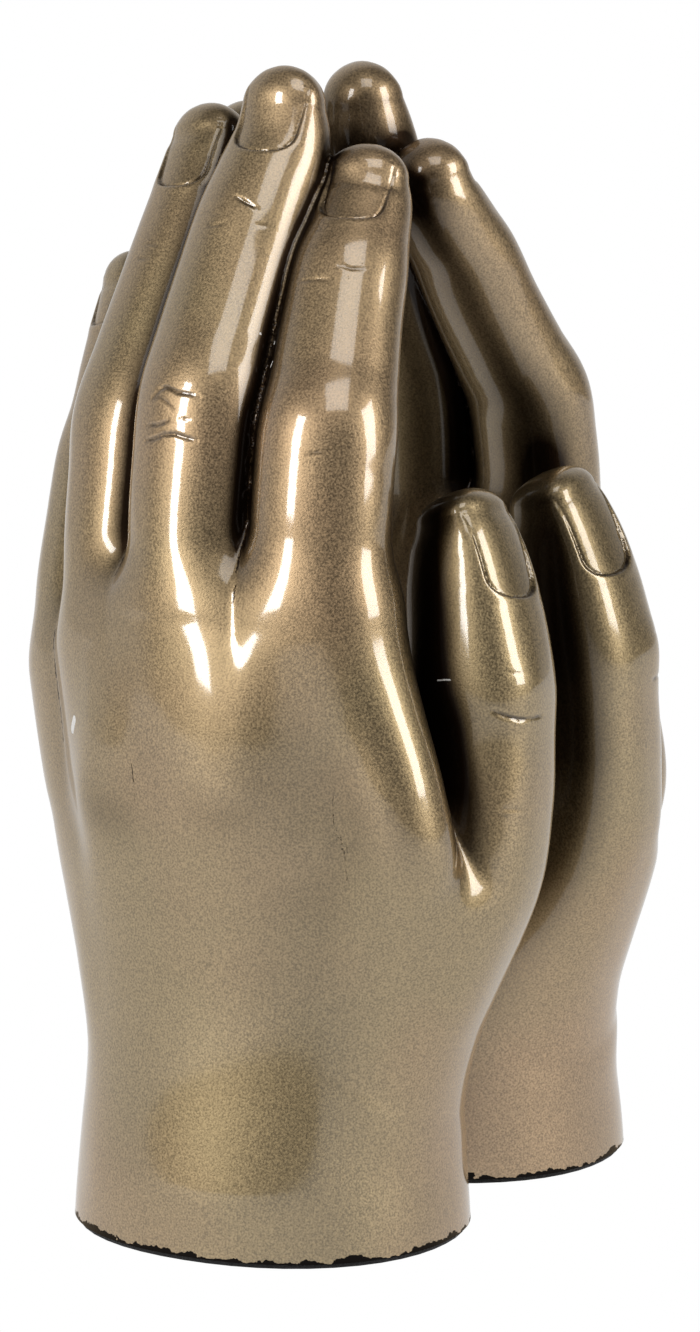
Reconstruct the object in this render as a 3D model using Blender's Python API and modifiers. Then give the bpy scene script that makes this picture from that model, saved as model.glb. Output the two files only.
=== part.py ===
"""Praying hands: a left and a right hand cast in one piece, standing on two felt pads.

The hands mirror each other across the plane X = 0. They face each other with the
thumbs at the front, towards -Y, and the fingers pointing up, along +Z. Every limb is
an oval swept along a spine, the limbs melt into one skin, and the wrists meet at the heel.
"""

import bmesh
import bpy
import numpy as np

MM = 0.001

# Driving dimensions, in millimetres
WRIST_DEPTH = 67.0
WRIST_BREADTH = 76.0
WRIST_OVERLAP = 0.8
WRIST_SPACING = WRIST_DEPTH - WRIST_OVERLAP
FELT_THICKNESS = 0.9
FELT_INSET = WRIST_OVERLAP
FELT_GAP = 0.3
SKIN_VOXEL = 2.0
SKIN_TRIANGLES = 9600

# How far neighbouring forms melt into each other, in millimetres
MELT_BODY = 13.0
MELT_FINGER_ROOT = 7.0
MELT_BETWEEN_FINGERS = 1.1
MELT_THUMB_CREASE = 1.6
MELT_THUMB_ROOT = 14.0
MELT_CONTACT = 1.2
THUMB_ROOT_LOW = 60.0
THUMB_ROOT_HIGH = 80.0

# The outlines of the wrist and the thumb lie between an ellipse (2) and a rounded box (3)
OVAL_POWER = 2.12
THUMB_POWER = 2.5
# Rings of a limb's sphere beyond this latitude, in degrees, make its rounded ends
CAP_LATITUDE = 60.0
# The step over which the skin's slope is measured, in millimetres
SLOPE_STEP = 0.2
# The square of the flattest slope that a step onto the skin reckons with
FLATTEST = 0.25
# The part of the way to its neighbours' middle that a point moves between the rounds
EVENING = 0.6
# Points are measured in lots of this many
LOT = 20000
# The rings and spokes of the sphere that a limb is drawn from
LIMB_RINGS = 36
LIMB_SPOKES = 20

# A limb is a list of ovals from its root to its tip. Each oval is
# (distance out from the mirror plane, place along Y, height,
#  half-width, depth on the back of the hand, depth on the palm side).
FINGERS = {
    "index": (14.0, 6.5, [
        (42.0, -15.0, 100.0, 12.0, 9.8, 13.0),
        (44.0, -16.3, 118.0, 13.0, 10.2, 12.5),
        (44.0, -16.7, 133.0, 13.1, 10.5, 11.8),
        (42.6, -16.5, 143.0, 13.0, 9.9, 11.5),
        (40.1, -16.0, 151.5, 13.0, 10.3, 11.0),
        (34.9, -14.3, 160.0, 12.2, 9.3, 10.2),
        (28.7, -12.3, 170.0, 11.6, 8.8, 9.8),
        (23.1, -10.9, 179.0, 11.2, 8.6, 9.4),
        (18.1, -9.9, 185.5, 10.1, 7.8, 9.2),
        (14.4, -9.3, 191.0, 9.2, 6.8, 8.8),
        (13.0, -9.2, 195.2, 7.9, 5.4, 7.8),
    ]),
    "middle": (2.0, 7.5, [
        (44.5, 4.5, 98.0, 12.0, 12.8, 13.5),
        (46.5, 6.5, 117.0, 12.6, 11.4, 12.8),
        (46.0, 8.4, 131.0, 12.6, 11.0, 12.0),
        (44.4, 8.6, 145.0, 12.6, 10.3, 11.5),
        (41.2, 8.9, 156.0, 12.7, 10.8, 11.0),
        (35.9, 9.3, 166.0, 12.0, 9.7, 10.3),
        (29.2, 9.1, 178.0, 11.5, 9.2, 10.0),
        (24.3, 8.6, 187.0, 11.2, 9.0, 9.8),
        (20.0, 7.7, 194.5, 10.6, 8.5, 9.7),
        (17.2, 6.9, 201.5, 9.6, 6.8, 9.2),
        (15.8, 7.1, 208.4, 8.0, 4.8, 7.8),
    ]),
    "ring": (-10.0, 6.5, [
        (40.0, 21.5, 92.0, 11.5, 11.8, 13.0),
        (41.0, 26.5, 110.0, 11.8, 10.3, 12.0),
        (39.0, 28.6, 126.0, 11.2, 10.2, 11.5),
        (36.2, 29.4, 140.0, 11.2, 9.8, 11.0),
        (32.8, 29.9, 150.5, 11.6, 10.2, 10.8),
        (27.4, 29.5, 161.5, 10.8, 9.4, 10.0),
        (21.6, 28.8, 172.5, 10.3, 8.9, 9.5),
        (16.4, 28.0, 182.0, 10.1, 8.6, 9.2),
        (11.9, 27.6, 191.0, 9.4, 7.8, 8.8),
        (8.9, 27.7, 198.2, 8.5, 6.4, 8.4),
        (7.7, 28.0, 201.8, 7.6, 5.2, 7.8),
    ]),
    "little": (-24.0, 6.0, [
        (33.5, 35.0, 84.0, 10.8, 8.2, 11.5),
        (32.5, 40.5, 102.0, 10.4, 9.5, 11.0),
        (30.5, 42.3, 116.0, 9.8, 8.9, 10.4),
        (27.3, 42.2, 130.0, 9.4, 8.6, 9.8),
        (23.5, 42.0, 141.0, 9.6, 8.8, 9.4),
        (18.7, 42.6, 149.5, 8.9, 8.0, 8.9),
        (14.8, 43.2, 157.0, 8.7, 7.7, 8.5),
        (11.2, 44.0, 164.5, 8.2, 6.9, 8.0),
        (8.6, 44.8, 171.0, 7.4, 5.6, 7.4),
        (8.0, 45.2, 173.6, 6.8, 4.9, 7.0),
    ]),
}

THUMB = (90.0, 5.0, [
    (31.5, -18.0, 36.0, 14.0, 14.0, 16.0),
    (27.5, -28.5, 52.0, 14.5, 14.5, 17.0),
    (25.0, -37.0, 68.0, 13.3, 13.2, 16.0),
    (23.2, -40.0, 82.0, 12.2, 11.8, 15.0),
    (22.2, -40.2, 94.0, 11.8, 11.4, 14.8),
    (21.6, -39.6, 103.5, 12.2, 11.7, 14.8),
    (20.8, -38.8, 114.0, 11.7, 10.2, 14.8),
    (20.0, -37.6, 123.0, 10.9, 8.3, 14.4),
    (19.2, -36.0, 130.0, 9.8, 6.6, 12.8),
    (18.6, -34.6, 134.5, 8.4, 5.2, 10.6),
])

# The bones, pads and muscles under the skin of the palm and the back of the hand
PALM = {
    "index_bone": (10.0, 8.0, [
        (37.0, -9.0, 45.0, 14.0, 18.0, 16.0),
        (40.0, -11.0, 70.0, 13.0, 15.4, 15.0),
        (42.5, -14.0, 95.0, 12.0, 14.4, 13.0),
        (44.0, -16.3, 120.0, 12.0, 7.6, 12.0),
    ]),
    "middle_bone": (2.0, 8.0, [
        (37.0, 1.0, 40.0, 15.0, 20.0, 17.0),
        (41.0, 3.0, 66.0, 13.0, 16.8, 16.0),
        (44.5, 4.8, 92.0, 12.0, 17.0, 14.0),
        (46.0, 6.3, 118.0, 12.0, 9.2, 13.0),
    ]),
    "ring_bone": (-6.0, 8.0, [
        (36.0, 8.0, 40.0, 14.0, 18.5, 16.0),
        (39.0, 14.5, 62.0, 12.5, 15.6, 15.0),
        (41.0, 21.0, 88.0, 12.0, 15.0, 13.5),
        (41.0, 26.3, 110.0, 11.5, 8.8, 12.5),
    ]),
    "little_bone": (-15.0, 8.0, [
        (34.5, 15.0, 38.0, 13.0, 15.0, 15.0),
        (35.5, 26.2, 58.0, 12.0, 13.0, 14.0),
        (34.5, 35.8, 82.0, 11.0, 10.6, 12.5),
        (32.5, 40.5, 102.0, 10.0, 7.8, 11.0),
    ]),
    "web_muscle": (30.0, 8.0, [
        (38.0, -24.0, 54.0, 9.0, 9.0, 10.0),
        (43.2, -34.4, 70.0, 9.0, 9.0, 10.0),
        (45.2, -33.6, 86.0, 8.5, 8.5, 9.0),
        (44.0, -28.0, 102.0, 8.0, 8.0, 9.0),
        (44.0, -23.0, 114.0, 7.0, 7.0, 8.0),
    ]),
    "heel_pad": (0.0, 8.0, [
        (24.0, 18.0, 40.0, 10.0, 10.0, 10.0),
        (22.0, 26.2, 62.0, 10.0, 10.0, 10.0),
        (24.0, 31.2, 84.0, 8.0, 8.0, 8.0),
    ]),
}


def wrist_limb():
    """The wrist's oval stump, whose size and place follow the driving dimensions."""
    out = WRIST_SPACING / 2
    width = WRIST_BREADTH / 2
    depth = WRIST_DEPTH / 2
    return (0.0, 18.0, [
        (out, 0.0, -16.0, width, depth, depth),
        (out, 0.0, 0.0, width, depth, depth),
        (out - 0.4, 0.2, 18.0, width - 1.4, depth - 1.7, depth - 0.8),
        (out - 0.4, -0.4, 34.0, width - 3.0, depth - 3.7, depth - 2.4),
        (out + 1.0, -0.6, 50.0, width - 4.5, depth - 5.8, depth - 7.0),
        (out + 4.5, 0.0, 66.0, width - 7.0, depth - 12.0, depth - 14.0),
    ])


def smooth_rows(rows, steps):
    """A Catmull-Rom curve through the rows, with the given steps between neighbours."""
    rows = np.array(rows, float)
    padded = np.vstack([2 * rows[0] - rows[1], rows, 2 * rows[-1] - rows[-2]])
    made = []
    for i in range(len(rows) - 1):
        a, b, c, d = padded[i:i + 4]
        for t in np.arange(steps) / steps:
            made.append(0.5 * (2 * b + (c - a) * t + (2 * a - 5 * b + 4 * c - d) * t * t
                               + (3 * b - a - 3 * c + d) * t ** 3))
    made.append(rows[-1])
    return np.array(made)


class Limb:
    """An oval swept along a smooth spine, rounded over at both ends."""

    def __init__(self, turn, cap, rows, squareness=2.0, steps=3):
        self.cap = cap
        self.power = squareness
        table = smooth_rows(rows, steps)
        self.centre = table[:, :3]
        self.size = table[:, 3:]
        along = np.gradient(self.centre, axis=0)
        self.along = along / np.linalg.norm(along, axis=1)[:, None]
        angle = np.radians(turn)
        across = np.tile([np.sin(angle), np.cos(angle), 0.0], (len(table), 1))
        across -= (across * self.along).sum(1)[:, None] * self.along
        self.across = across / np.linalg.norm(across, axis=1)[:, None]
        self.back = np.cross(self.across, self.along)

    def nearest(self, points):
        """For each point, the spine segment nearest to it and how far along that it is."""
        start = self.centre[:-1]
        step = self.centre[1:] - start
        length = (step * step).sum(1)
        place = np.empty(len(points))
        for lo in range(0, len(points), LOT):
            p = points[lo:lo + LOT]
            t = (p @ step.T - (start * step).sum(1)) / length
            t = np.clip(t, 0.0, 1.0)
            gap = np.zeros_like(t)
            for k in range(3):
                gap += (p[:, k, None] - start[:, k] - t * step[:, k]) ** 2
            best = gap.argmin(1)
            place[lo:lo + LOT] = best + t[np.arange(len(p)), best]
        return place

    def distance(self, points):
        """About how far each point is outside the limb, in millimetres."""
        place = self.nearest(points)
        i = np.minimum(place.astype(int), len(self.centre) - 2)
        t = (place - i)[:, None]
        offset = points - (self.centre[i] * (1 - t) + self.centre[i + 1] * t)
        size = self.size[i] * (1 - t) + self.size[i + 1] * t
        across = self.across[i] * (1 - t) + self.across[i + 1] * t
        back = self.back[i] * (1 - t) + self.back[i + 1] * t
        a = (offset * across).sum(1)
        b = (offset * back).sum(1)
        last = np.where(place > 0.5, 1.0, -1.0)
        at_end = (place <= 0.0) | (place >= len(self.centre) - 1)
        beyond = np.where(at_end, np.maximum((offset * self.along[i]).sum(1) * last, 0.0), 0.0)
        half = size[:, 0]
        deep = np.where(b > 0, size[:, 1], size[:, 2])
        n = self.power
        ra = np.abs(a) / half
        rb = np.abs(b) / deep
        oval = np.maximum((ra ** n + rb ** n) ** (1 / n), 1e-6)
        slope = oval ** (1 - n) * np.hypot(ra ** (n - 1) / half, rb ** (n - 1) / deep)
        cap = beyond / self.cap
        whole = np.hypot(oval, cap)
        steep = np.hypot(oval / whole * slope, cap / whole / self.cap)
        return (whole - 1.0) / np.maximum(steep, 1e-6)


def melt(a, b, reach):
    """The smaller of two distances, with the fold between them filled over the reach."""
    h = np.maximum(reach - np.abs(a - b), 0.0) / reach
    return np.minimum(a, b) - h * h * reach / 4


def make_limbs():
    fingers = [Limb(turn, cap, rows) for turn, cap, rows in FINGERS.values()]
    palm = [Limb(turn, cap, rows) for turn, cap, rows in PALM.values()]
    wrist = Limb(*wrist_limb(), squareness=OVAL_POWER)
    thumb = Limb(*THUMB, squareness=THUMB_POWER)
    return fingers, palm, wrist, thumb


def ramp(value, low, high):
    t = np.clip((value - low) / (high - low), 0.0, 1.0)
    return t * t * (3 - 2 * t)


def hand_distance(points, limbs):
    """The skin of the hand on the +X side: zero on the skin and negative inside."""
    fingers, palm, wrist, thumb = limbs
    body = wrist.distance(points)
    for limb in palm:
        body = melt(body, limb.distance(points), MELT_BODY)
    spread = fingers[0].distance(points)
    for limb in fingers[1:]:
        spread = melt(spread, limb.distance(points), MELT_BETWEEN_FINGERS)
    hand = melt(body, spread, MELT_FINGER_ROOT)
    crease = ramp(points[:, 2], THUMB_ROOT_LOW, THUMB_ROOT_HIGH)
    reach = MELT_THUMB_ROOT + (MELT_THUMB_CREASE - MELT_THUMB_ROOT) * crease
    return melt(hand, thumb.distance(points), reach)


def skin_distance(points, limbs):
    """Both hands in one skin: each point is measured from the hand on either side."""
    right = hand_distance(points, limbs)
    left = hand_distance(points * [-1.0, 1.0, 1.0], limbs)
    return melt(left, right, MELT_CONTACT)


def fit_to_skin(points, edges, limbs, rounds):
    """Moves the points onto the skin, and evens them out along it between the rounds."""
    ends = np.concatenate([edges, edges[:, ::-1]])
    count = np.bincount(ends[:, 0], minlength=len(points))[:, None]
    for lap in range(rounds):
        gap = skin_distance(points, limbs)
        slope = np.empty_like(points)
        for k in range(3):
            moved = points.copy()
            moved[:, k] += SLOPE_STEP
            slope[:, k] = (skin_distance(moved, limbs) - gap) / SLOPE_STEP
        steep = np.maximum((slope * slope).sum(1), FLATTEST)
        points = points - (gap / steep)[:, None] * slope
        if lap == rounds - 1:
            break
        around = np.zeros_like(points)
        for k in range(3):
            around[:, k] = np.bincount(ends[:, 0], points[ends[:, 1], k], len(points))
        pull = around / count - points
        normal = slope / np.sqrt(steep)[:, None]
        pull -= (pull * normal).sum(1)[:, None] * normal
        points = points + EVENING * pull
    return points


def add_limb(bm, limb, mirrored):
    """A sphere drawn out along the limb: its middle rings follow the spine, its poles cap it."""
    ball = bmesh.ops.create_uvsphere(bm, u_segments=LIMB_SPOKES, v_segments=LIMB_RINGS,
                                     radius=1.0)["verts"]
    co = np.array([v.co for v in ball])
    rise = np.degrees(np.arcsin(np.clip(co[:, 2], -1.0, 1.0)))
    place = np.clip(rise / CAP_LATITUDE, -1.0, 1.0) * 0.5 + 0.5
    place *= len(limb.centre) - 1
    over = np.maximum(np.abs(rise) - CAP_LATITUDE, 0.0) / (90.0 - CAP_LATITUDE) * np.pi / 2
    beyond = np.sin(over) * limb.cap * np.sign(rise)
    i = np.minimum(place.astype(int), len(limb.centre) - 2)
    t = (place - i)[:, None]
    turn = np.arctan2(co[:, 1], co[:, 0])
    c, s = np.cos(turn), np.sin(turn)
    n = limb.power
    round_off = (np.abs(c) ** n + np.abs(s) ** n) ** (-1 / n) * np.cos(over)
    size = limb.size[i] * (1 - t) + limb.size[i + 1] * t
    deep = np.where(s > 0, size[:, 1], size[:, 2])
    spot = limb.centre[i] * (1 - t) + limb.centre[i + 1] * t
    spot += limb.across[i] * (c * round_off * size[:, 0])[:, None]
    spot += limb.back[i] * (s * round_off * deep)[:, None]
    spot += limb.along[i] * beyond[:, None]
    if mirrored:
        spot[:, 0] *= -1
    for vert, place_mm in zip(ball, spot):
        vert.co = place_mm * MM
    faces = {face for vert in ball for face in vert.link_faces}
    bmesh.ops.recalc_face_normals(bm, faces=list(faces))


def new_object(name, mesh, collection, material):
    obj = bpy.data.objects.new(name, mesh)
    collection.objects.link(obj)
    mesh.materials.clear()
    mesh.materials.append(material)
    return obj


def evaluated_mesh(obj):
    graph = bpy.context.evaluated_depsgraph_get()
    return bpy.data.meshes.new_from_object(obj.evaluated_get(graph))


def make_hands(collection, material):
    """The casting: the limbs as solids, remeshed as one body and fitted to the skin."""
    limbs = make_limbs()
    bm = bmesh.new()
    for limb in [*limbs[0], *limbs[1], limbs[2], limbs[3]]:
        add_limb(bm, limb, mirrored=False)
        add_limb(bm, limb, mirrored=True)
    mesh = bpy.data.meshes.new("praying_hands")
    bm.to_mesh(mesh)
    bm.free()
    hands = new_object("praying_hands", mesh, collection, material)
    remesh = hands.modifiers.new("one_body", "REMESH")
    remesh.mode = "VOXEL"
    remesh.voxel_size = SKIN_VOXEL * MM
    whole = evaluated_mesh(hands)
    hands.modifiers.remove(remesh)
    hands.data = whole

    points = np.empty(len(whole.vertices) * 3, np.float32)
    whole.vertices.foreach_get("co", points)
    edges = np.empty(len(whole.edges) * 2, np.int32)
    whole.edges.foreach_get("vertices", edges)
    points = points.reshape(-1, 3).astype(float) / MM
    points = fit_to_skin(points, edges.reshape(-1, 2), limbs, rounds=4) * MM
    whole.vertices.foreach_set("co", points.astype(np.float32).ravel())
    whole.update()

    thin = hands.modifiers.new("fewer_faces", "DECIMATE")
    thin.ratio = SKIN_TRIANGLES / (2 * len(whole.polygons))
    thinned = evaluated_mesh(hands)
    hands.modifiers.remove(thin)
    hands.data = thinned

    bm = bmesh.new()
    bm.from_mesh(thinned)
    floor = (FELT_THICKNESS + FELT_GAP) * MM
    everything = bm.verts[:] + bm.edges[:] + bm.faces[:]
    cut = bmesh.ops.bisect_plane(bm, geom=everything, dist=1e-6, plane_co=(0, 0, floor),
                                 plane_no=(0, 0, -1), clear_outer=True)
    rim = [e for e in cut["geom_cut"] if isinstance(e, bmesh.types.BMEdge)]
    bmesh.ops.holes_fill(bm, edges=rim)
    bmesh.ops.triangulate(bm, faces=bm.faces[:])
    bmesh.ops.recalc_face_normals(bm, faces=bm.faces[:])
    bm.to_mesh(thinned)
    bm.free()
    thinned.shade_smooth()
    return hands


def make_felt(name, side, collection, material):
    """A thin pad under one wrist, with the wrist's own outline a little inset."""
    bm = bmesh.new()
    ring = bmesh.ops.create_circle(bm, segments=48, radius=1.0, cap_ends=True)["verts"]
    for vert in ring:
        turn = np.arctan2(vert.co.y, vert.co.x)
        c, s = np.cos(turn), np.sin(turn)
        reach = (abs(c) ** OVAL_POWER + abs(s) ** OVAL_POWER) ** (-1 / OVAL_POWER)
        vert.co.x = (side * WRIST_SPACING / 2 + c * reach * (WRIST_DEPTH / 2 - FELT_INSET)) * MM
        vert.co.y = s * reach * (WRIST_BREADTH / 2 - FELT_INSET) * MM
    slab = bmesh.ops.extrude_face_region(bm, geom=bm.faces[:])["geom"]
    lifted = [v for v in slab if isinstance(v, bmesh.types.BMVert)]
    bmesh.ops.translate(bm, verts=lifted, vec=(0, 0, FELT_THICKNESS * MM))
    bmesh.ops.recalc_face_normals(bm, faces=bm.faces[:])
    mesh = bpy.data.meshes.new(name)
    bm.to_mesh(mesh)
    bm.free()
    return new_object(name, mesh, collection, material)


def make_material(name, colour, roughness, metallic):
    material = bpy.data.materials.new(name)
    material.use_nodes = True
    shader = material.node_tree.nodes["Principled BSDF"]
    shader.inputs["Base Color"].default_value = (*colour, 1.0)
    shader.inputs["Roughness"].default_value = roughness
    shader.inputs["Metallic"].default_value = metallic
    return material


def main():
    for obj in list(bpy.data.objects):
        bpy.data.objects.remove(obj)
    parts = bpy.data.collections.new("praying_hands")
    bpy.context.scene.collection.children.link(parts)
    bronze = make_material("bronze_paint", (0.26, 0.19, 0.11), 0.32, 0.7)
    felt = make_material("black_felt", (0.02, 0.02, 0.02), 0.95, 0.0)
    make_hands(parts, bronze)
    make_felt("left_felt_pad", -1, parts, felt)
    make_felt("right_felt_pad", 1, parts, felt)


main()
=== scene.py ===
"""Looks of the praying hands statue: two bronze-painted hands in one casting, on felt pads.

The skin is modelled in hand space, in millimetres: the distance out from the mirror plane
X = 0, the place along Y from the thumbs to the little fingers, and the height. The left
hand is the right hand mirrored, with the chips and scratches that its paint has.
"""

import math

import bmesh
import bpy
import numpy as np
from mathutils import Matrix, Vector


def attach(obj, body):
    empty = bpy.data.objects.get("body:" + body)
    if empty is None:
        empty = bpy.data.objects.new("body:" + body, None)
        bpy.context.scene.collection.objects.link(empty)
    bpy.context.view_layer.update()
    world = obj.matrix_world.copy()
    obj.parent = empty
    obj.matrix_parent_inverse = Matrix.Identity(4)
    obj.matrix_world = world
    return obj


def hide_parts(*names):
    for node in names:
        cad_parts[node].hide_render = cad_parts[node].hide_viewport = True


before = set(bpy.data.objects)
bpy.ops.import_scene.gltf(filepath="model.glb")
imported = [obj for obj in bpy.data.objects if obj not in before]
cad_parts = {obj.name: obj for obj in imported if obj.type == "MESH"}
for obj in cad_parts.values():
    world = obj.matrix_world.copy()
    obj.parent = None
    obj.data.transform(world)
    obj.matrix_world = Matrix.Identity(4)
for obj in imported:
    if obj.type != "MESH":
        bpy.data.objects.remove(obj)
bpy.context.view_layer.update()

MM = 0.001

# Sizes that the skin is made from, in millimetres
WRIST_DEPTH = 67.0
WRIST_BREADTH = 76.0
WRIST_OVERLAP = 0.8
WRIST_SPACING = WRIST_DEPTH - WRIST_OVERLAP
SKIN_FLOOR = 0.95
SKIN_VOXEL = 1.1
# The skin's least and greatest distance out
HAND_GAP = 0.02
HAND_REACH = 66.52

# Edge lengths of the finer skin at each kind of detail, in millimetres, from a fold's to that
# of plain skin, which isn't cut
FOLD_EDGE = 0.5
NAIL_EDGE = 0.32
CREASE_EDGE = 0.34
CHIP_EDGE = 0.25
COARSE_EDGE = 9.0
# How far from its line a crease or the rim of a chip is meshed finely, in millimetres
CREASE_MARGIN = 2.2
CHIP_MARGIN = 0.7
# An edge is cut when it is this many times too long, in this many laps at most
TOO_LONG = 1.35
REFINE_LAPS = 3
FOLD_ANGLE = math.radians(24.0)
SHARP_EDGE = math.radians(58.0)

# How the first skin is drawn onto the limbs: rounds, the share of each evening pull, and the
# least slope that a step is divided by
COARSE_ROUNDS = 3
FINE_ROUNDS = 2
EVENING = 0.6
LEAST_SLOPE = 0.25
SLOPE_STEP = 0.2
# The sphere that a limb is drawn from, and the latitude at which its caps begin
LIMB_SPOKES = 24
LIMB_RINGS = 48
CAP_LATITUDE = 60.0
# Laps in which the nearest place along a limb is found
NEAREST_LAPS = 3

# How far out each point looks for skin that closes it in, and the share of each look; the paint is
# darkened by the sum as painted shade
SHADE_REACHES = ((2.5, 0.25), (7.0, 0.25), (18.0, 0.20), (42.0, 0.30))

# How far neighbouring forms melt into each other, in millimetres
MELT_BODY = 13.0
MELT_FINGER_ROOT = 7.0
MELT_BETWEEN_FINGERS = 1.1
MELT_THUMB_CREASE = 1.6
MELT_THUMB_ROOT = 14.0
THUMB_ROOT_LOW = 60.0
THUMB_ROOT_HIGH = 80.0

# How square the ovals are: 2 is an ellipse
OVAL_POWER = 2.12
FINGER_POWER = 2.1
THUMB_POWER = 2.5
# A limb further away than this doesn't bend the skin, so it is measured only roughly
FAR_FROM_LIMB = 22.0
# The steps in which a limb's length is measured to place its nail
NAIL_STEPS = 400

# The back of the wrist that is evened out to one sheet: least distance out, reach along Y, top
# height, the share of both over which the evening fades out, the height over which it fades in
# at the foot, the cells that each count once, and the sheet's powers along Y and up
SHEET_OUT = 48.0
SHEET_REACH = 32.0
SHEET_TOP = 104.0
SHEET_FADE = 0.30
SHEET_FOOT = 14.0
SHEET_CELLS = 24
SHEET_POWERS_ALONG = 7
SHEET_POWERS_UP = 5

# A limb is a list of ovals from its root to its tip. Each oval is
# (distance out from the mirror plane, place along Y, height,
#  half-width, depth on the back of the hand, depth on the palm side).
FINGERS = {
    "index": (14.0, 6.5, [
        (42.0, -15.0, 100.0, 12.0, 9.8, 13.0),
        (44.0, -16.3, 118.0, 13.0, 11.4, 12.5),
        (44.0, -16.7, 133.0, 13.1, 10.0, 11.8),
        (42.6, -16.5, 143.0, 13.0, 9.9, 11.5),
        (40.1, -16.0, 151.5, 13.0, 10.3, 11.0),
        (34.9, -14.3, 160.0, 12.2, 9.3, 10.2),
        (28.7, -12.3, 170.0, 11.6, 8.8, 9.8),
        (23.1, -10.9, 179.0, 11.2, 8.6, 9.4),
        (18.1, -9.9, 185.5, 10.1, 7.8, 9.2),
        (14.4, -9.3, 191.0, 9.2, 6.8, 8.8),
        (13.0, -9.2, 195.2, 7.9, 5.4, 7.8),
    ]),
    "middle": (2.0, 7.5, [
        (44.5, 4.5, 98.0, 12.0, 12.8, 13.5),
        (46.5, 6.5, 117.0, 12.6, 12.2, 12.8),
        (46.0, 8.4, 131.0, 12.6, 11.0, 12.0),
        (44.4, 8.6, 145.0, 12.6, 10.3, 11.5),
        (41.2, 8.9, 156.0, 12.7, 10.8, 11.0),
        (35.9, 9.3, 166.0, 12.0, 9.7, 10.3),
        (29.2, 9.1, 178.0, 11.5, 9.2, 10.0),
        (24.3, 8.6, 187.0, 11.2, 9.0, 9.8),
        (20.0, 7.7, 194.5, 10.6, 8.5, 9.7),
        (17.2, 6.9, 201.5, 9.6, 6.8, 9.2),
        (15.8, 7.1, 208.4, 8.0, 4.8, 7.8),
    ]),
    "ring": (-10.0, 6.5, [
        (40.0, 21.5, 92.0, 11.5, 11.8, 13.0),
        (41.0, 26.5, 110.0, 11.8, 10.3, 12.0),
        (39.0, 28.6, 126.0, 11.2, 10.2, 11.5),
        (36.2, 29.4, 140.0, 11.2, 9.8, 11.0),
        (32.8, 29.9, 150.5, 11.6, 10.2, 10.8),
        (27.4, 29.5, 161.5, 10.8, 9.4, 10.0),
        (21.6, 28.8, 172.5, 10.3, 8.9, 9.5),
        (16.4, 28.0, 182.0, 10.1, 8.6, 9.2),
        (11.9, 27.6, 191.0, 9.4, 7.8, 8.8),
        (8.9, 27.7, 198.2, 8.5, 6.4, 8.4),
        (7.7, 28.0, 201.8, 7.6, 5.2, 7.8),
    ]),
    "little": (-24.0, 6.0, [
        (33.5, 35.0, 84.0, 10.8, 8.2, 11.5),
        (32.5, 40.5, 102.0, 10.4, 9.5, 11.0),
        (30.5, 42.3, 116.0, 9.8, 8.9, 10.4),
        (27.3, 42.2, 130.0, 9.4, 8.6, 9.8),
        (23.5, 42.0, 141.0, 9.6, 8.8, 9.4),
        (18.7, 42.6, 149.5, 8.9, 8.0, 8.9),
        (14.8, 43.2, 157.0, 8.7, 7.7, 8.5),
        (11.2, 44.0, 164.5, 8.2, 6.9, 8.0),
        (8.6, 44.8, 171.0, 7.4, 5.6, 7.4),
        (8.0, 45.2, 173.6, 6.8, 4.9, 7.0),
    ]),
}

THUMB = (90.0, 5.0, [
    (31.5, -18.0, 36.0, 14.0, 14.0, 16.0),
    (27.5, -28.5, 52.0, 14.5, 14.5, 17.0),
    (25.0, -37.0, 68.0, 13.3, 13.2, 16.0),
    (23.2, -40.0, 82.0, 12.2, 11.8, 15.0),
    (22.2, -40.2, 94.0, 11.8, 11.4, 14.8),
    (21.6, -39.6, 103.5, 12.2, 11.7, 14.8),
    (20.8, -38.8, 114.0, 11.7, 10.2, 14.8),
    (20.0, -37.6, 123.0, 10.9, 8.3, 14.4),
    (19.2, -36.0, 130.0, 9.8, 6.6, 12.8),
    (18.6, -34.6, 134.5, 8.4, 5.2, 10.6),
])

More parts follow.
